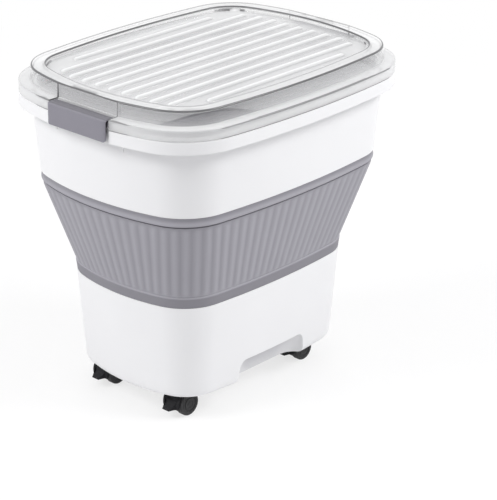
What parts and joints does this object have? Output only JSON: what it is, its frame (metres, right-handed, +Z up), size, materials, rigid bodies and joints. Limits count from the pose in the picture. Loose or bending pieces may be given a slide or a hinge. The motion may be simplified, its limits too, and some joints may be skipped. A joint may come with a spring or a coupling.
{
  "type": "collapsible rice storage container",
  "caption": "Collapsible storage bin: tub and upper frame joined by a folding soft wall, clear ribbed lid with end latches, on swivel casters.",
  "frame": {"origin": "on the floor under the middle of the bin", "axes": "+X along the long sides, +Y across them, +Z up"},
  "size_m": [0.394, 0.302, 0.373],
  "materials": {
    "white_plastic": "satin moulded polypropylene",
    "grey_elastomer": "soft matt elastomer",
    "clear_plastic": "clear polished",
    "gasket_silicone": "translucent silicone",
    "grey_plastic": "satin",
    "black_plastic": "satin black",
    "steel": "turned"
  },
  "bodies": {
    "base": {"base_tub": "white_plastic", "lower_collar": "grey_elastomer", "folding_wall": "grey_elastomer", "left_front_stem": "steel", "right_front_stem": "steel", "left_back_stem": "steel", "right_back_stem": "steel"},
    "upper": {"upper_frame": "white_plastic", "upper_collar": "grey_elastomer"},
    "lid": {"lid_cover": "clear_plastic", "lid_gasket": "gasket_silicone"},
    "latch_left": {"latch_left": "grey_plastic"},
    "latch_right": {"latch_right": "grey_plastic"},
    "left_front_caster": {"left_front_hood": "black_plastic", "left_front_axle": "steel"},
    "left_front_wheel_near": {"left_front_wheel_near": "black_plastic"},
    "left_front_wheel_far": {"left_front_wheel_far": "black_plastic"},
    "right_front_caster": {"right_front_hood": "black_plastic", "right_front_axle": "steel"},
    "right_front_wheel_near": {"right_front_wheel_near": "black_plastic"},
    "right_front_wheel_far": {"right_front_wheel_far": "black_plastic"},
    "left_back_caster": {"left_back_hood": "black_plastic", "left_back_axle": "steel"},
    "left_back_wheel_near": {"left_back_wheel_near": "black_plastic"},
    "left_back_wheel_far": {"left_back_wheel_far": "black_plastic"},
    "right_back_caster": {"right_back_hood": "black_plastic", "right_back_axle": "steel"},
    "right_back_wheel_near": {"right_back_wheel_near": "black_plastic"},
    "right_back_wheel_far": {"right_back_wheel_far": "black_plastic"}
  },
  "joints": [
    {"name": "collapse", "type": "slide", "parent": "base", "child": "upper", "axis": [0, 0, 1], "range_m": [-0.205, 0], "deforming": ["folding_wall"]},
    {"name": "lid_lift", "type": "slide", "parent": "upper", "child": "lid", "axis": [0, 0, 1], "range_m": [0, 0.2]},
    {"name": "latch_left_flip", "type": "hinge", "parent": "lid", "child": "latch_left", "pos_m": [-0.1885, 0, 0.3506], "axis": [0, 1, 0], "range_deg": [0, 100]},
    {"name": "latch_right_flip", "type": "hinge", "parent": "lid", "child": "latch_right", "pos_m": [0.1885, 0, 0.3506], "axis": [0, -1, 0], "range_deg": [0, 100]},
    {"name": "left_front_swivel", "type": "hinge", "parent": "base", "child": "left_front_caster", "pos_m": [-0.094, -0.055, 0.03], "axis": [0, 0, 1], "continuous": true},
    {"name": "left_front_roll_near", "type": "hinge", "parent": "left_front_caster", "child": "left_front_wheel_near", "pos_m": [-0.103, -0.055, 0.0135], "axis": [0, 1, 0], "continuous": true},
    {"name": "left_front_roll_far", "type": "hinge", "parent": "left_front_caster", "child": "left_front_wheel_far", "pos_m": [-0.103, -0.055, 0.0135], "axis": [0, 1, 0], "continuous": true},
    {"name": "right_front_swivel", "type": "hinge", "parent": "base", "child": "right_front_caster", "pos_m": [0.094, -0.055, 0.03], "axis": [0, 0, 1], "continuous": true},
    {"name": "right_front_roll_near", "type": "hinge", "parent": "right_front_caster", "child": "right_front_wheel_near", "pos_m": [0.085, -0.055, 0.0135], "axis": [0, 1, 0], "continuous": true},
    {"name": "right_front_roll_far", "type": "hinge", "parent": "right_front_caster", "child": "right_front_wheel_far", "pos_m": [0.085, -0.055, 0.0135], "axis": [0, 1, 0], "continuous": true},
    {"name": "left_back_swivel", "type": "hinge", "parent": "base", "child": "left_back_caster", "pos_m": [-0.094, 0.055, 0.03], "axis": [0, 0, 1], "continuous": true},
    {"name": "left_back_roll_near", "type": "hinge", "parent": "left_back_caster", "child": "left_back_wheel_near", "pos_m": [-0.103, 0.055, 0.0135], "axis": [0, 1, 0], "continuous": true},
    {"name": "left_back_roll_far", "type": "hinge", "parent": "left_back_caster", "child": "left_back_wheel_far", "pos_m": [-0.103, 0.055, 0.0135], "axis": [0, 1, 0], "continuous": true},
    {"name": "right_back_swivel", "type": "hinge", "parent": "base", "child": "right_back_caster", "pos_m": [0.094, 0.055, 0.03], "axis": [0, 0, 1], "continuous": true},
    {"name": "right_back_roll_near", "type": "hinge", "parent": "right_back_caster", "child": "right_back_wheel_near", "pos_m": [0.085, 0.055, 0.0135], "axis": [0, 1, 0], "continuous": true},
    {"name": "right_back_roll_far", "type": "hinge", "parent": "right_back_caster", "child": "right_back_wheel_far", "pos_m": [0.085, 0.055, 0.0135], "axis": [0, 1, 0], "continuous": true}
  ]
}
